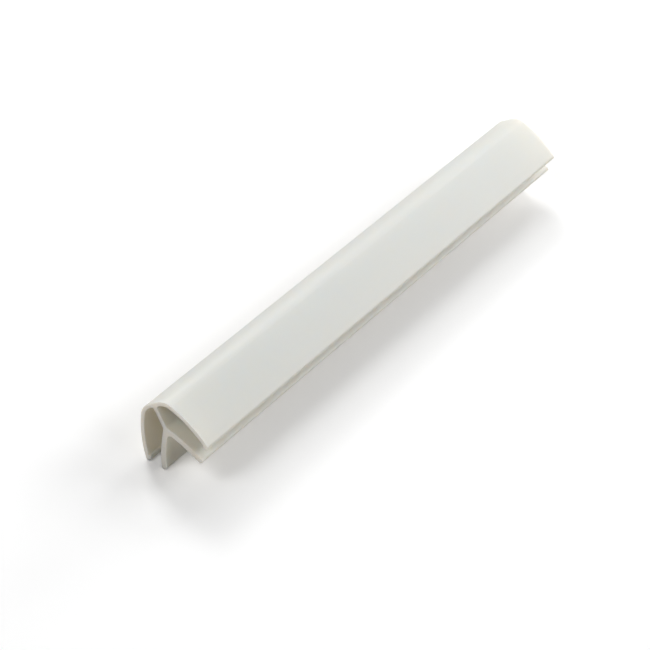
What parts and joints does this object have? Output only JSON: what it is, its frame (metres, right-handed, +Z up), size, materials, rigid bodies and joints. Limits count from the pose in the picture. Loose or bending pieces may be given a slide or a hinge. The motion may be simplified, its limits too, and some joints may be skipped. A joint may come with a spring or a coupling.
{
  "type": "styrene corner channel",
  "caption": "Straight length of thin-walled styrene corner channel: two curved edge slots set at a corner, joined by a forked diagonal web.",
  "frame": {"origin": "on the floor under the middle of the length, centred across the section's width", "axes": "+Y along the extrusion, +X the way the upper slot opens, +Z up from the two tips it rests on"},
  "size_m": [0.019, 0.164, 0.0187],
  "materials": {
    "styrene": "off-white satin styrene with fine lines along the extrusion and plain sawn ends"
  },
  "bodies": {
    "root": {"corner_channel": "styrene"}
  },
  "joints": []
}
